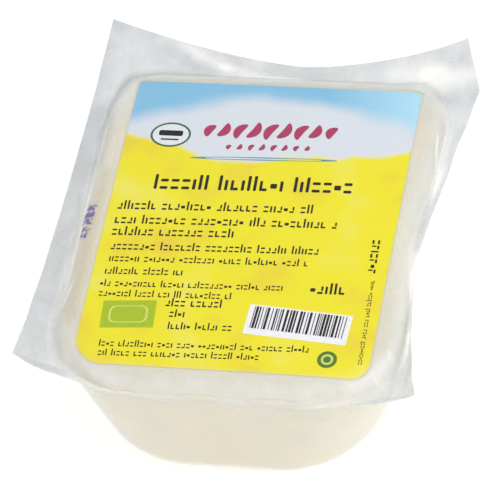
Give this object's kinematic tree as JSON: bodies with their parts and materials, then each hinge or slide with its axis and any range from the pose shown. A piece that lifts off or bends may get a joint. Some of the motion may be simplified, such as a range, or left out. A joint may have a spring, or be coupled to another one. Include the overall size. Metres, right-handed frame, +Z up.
{
  "type": "sealed tofu block",
  "caption": "Block of fresh tofu in a tight clear film pack with a wide curled rim and a yellow and blue paper label under the film.",
  "frame": {"origin": "middle of the pack's box, on the flat base that it stands on", "axes": "+Z up out of the label, +Y towards the label's blue far edge, +X to the right when the label is read"},
  "size_m": [0.101, 0.1116, 0.0502],
  "materials": {
    "film": "glossy clear plastic film over pale cream tofu, milky where it stands free of the block",
    "tofu": "moist, fine-grained pressed curd, pale cream",
    "label_paper": "coated paper printed yellow with a blue far edge, seen through film",
    "print_ink": "thin printed ink marks"
  },
  "bodies": {
    "root": {"sealed_pack": "film", "label": "label_paper"}
  },
  "joints": []
}
